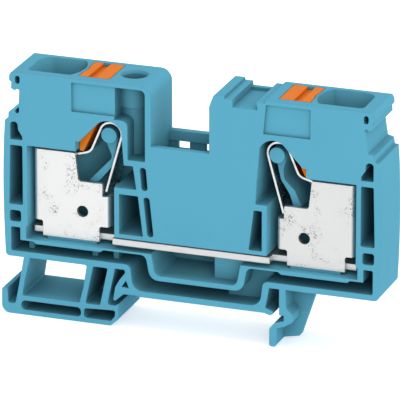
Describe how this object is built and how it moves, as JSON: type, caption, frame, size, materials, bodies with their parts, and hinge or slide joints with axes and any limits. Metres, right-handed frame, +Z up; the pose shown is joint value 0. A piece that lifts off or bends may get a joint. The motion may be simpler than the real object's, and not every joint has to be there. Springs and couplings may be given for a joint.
{
  "type": "feed-through terminal block",
  "caption": "Rail-mounted feed-through terminal block with spring clamps, release pushers, wire funnels, test well, bridge notch and a foot that clips onto the rail.",
  "frame": {"origin": "middle of the block's box, on the plane that its feet stand on", "axes": "+X along the block from the test well's side, +Y across it from the open side to the closed side, +Z up away from the rail"},
  "size_m": [0.0762, 0.012, 0.049],
  "materials": {
    "blue_plastic": "fine satin moulded plastic",
    "tinned_sheet": "tin-plated sheet",
    "spring_steel": "bright spring steel strip",
    "tinned_bar": "tin-plated copper bar",
    "orange_plastic": "satin moulded plastic"
  },
  "bodies": {
    "block": {"housing": "blue_plastic", "left_cage": "tinned_sheet", "right_cage": "tinned_sheet", "left_spring": "spring_steel", "right_spring": "spring_steel", "current_bar": "tinned_bar"},
    "left_button": {"left_pusher": "orange_plastic"},
    "right_button": {"right_pusher": "orange_plastic"}
  },
  "joints": [
    {"name": "left_press", "type": "slide", "parent": "block", "child": "left_button", "axis": [0, 0, -1], "range_m": [0, 0.0025], "stiffness_N_per_m": 2000, "deforming": ["left_spring"]},
    {"name": "right_press", "type": "slide", "parent": "block", "child": "right_button", "axis": [0, 0, -1], "range_m": [0, 0.0025], "stiffness_N_per_m": 2000, "deforming": ["right_spring"]}
  ]
}
